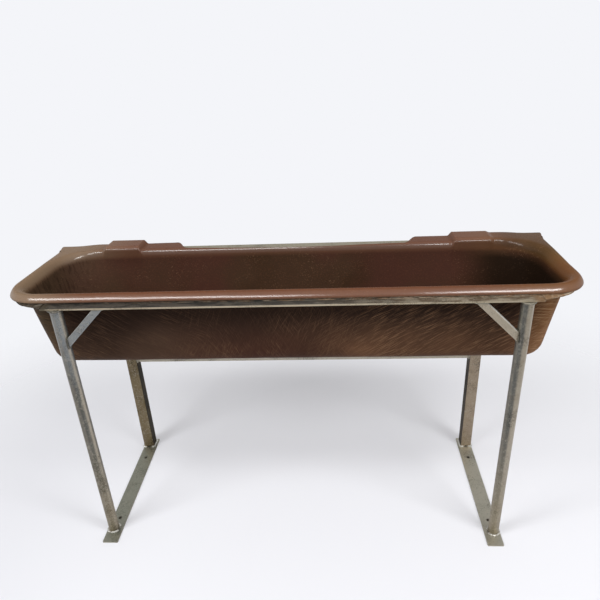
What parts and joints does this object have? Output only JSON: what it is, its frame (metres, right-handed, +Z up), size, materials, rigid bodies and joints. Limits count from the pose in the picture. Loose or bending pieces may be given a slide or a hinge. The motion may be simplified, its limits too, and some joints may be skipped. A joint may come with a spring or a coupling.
{
  "type": "livestock feeding trough on stand",
  "caption": "Long moulded glass-fibre feed and water trough with a rolled front lip and hook saddles at the back, on a welded galvanised stand with foot bars.",
  "frame": {"origin": "on the floor, at the middle of the overall footprint", "axes": "+X along the trough towards its right end as seen from the front, +Y from the front lip to the rear flange, +Z up"},
  "size_m": [1.626, 0.5332, 0.8752],
  "materials": {
    "gelcoat_laminate": "glossy brown gelcoat inside, raw glass-fibre laminate outside",
    "raw_laminate": "resin-rich glass-fibre laminate",
    "galvanised_steel": "dull mottled hot-dip zinc",
    "galvanised_weld": "rough zinc over fillet welds"
  },
  "bodies": {
    "root": {"trough_shell": "gelcoat_laminate", "corner_bond_left": "raw_laminate", "corner_bond_right": "raw_laminate", "front_rail": "galvanised_steel", "rear_rail": "galvanised_steel", "rear_stretcher": "galvanised_steel", "foot_bar_left": "galvanised_steel", "foot_bar_right": "galvanised_steel", "front_leg_left": "galvanised_steel", "front_leg_right": "galvanised_steel", "rear_leg_left": "galvanised_steel", "rear_leg_right": "galvanised_steel", "brace_left": "galvanised_steel", "brace_right": "galvanised_steel", "weld_front_leg_base_left": "galvanised_weld", "weld_front_leg_base_right": "galvanised_weld", "weld_rear_leg_base_left": "galvanised_weld", "weld_rear_leg_base_right": "galvanised_weld", "weld_front_leg_top_left": "galvanised_weld", "weld_front_leg_top_right": "galvanised_weld", "weld_rear_leg_top_left": "galvanised_weld", "weld_rear_leg_top_right": "galvanised_weld", "weld_brace_top_left": "galvanised_weld", "weld_brace_top_right": "galvanised_weld", "weld_brace_foot_left": "galvanised_weld", "weld_brace_foot_right": "galvanised_weld", "weld_stretcher_left": "galvanised_weld", "weld_stretcher_right": "galvanised_weld"}
  },
  "joints": []
}
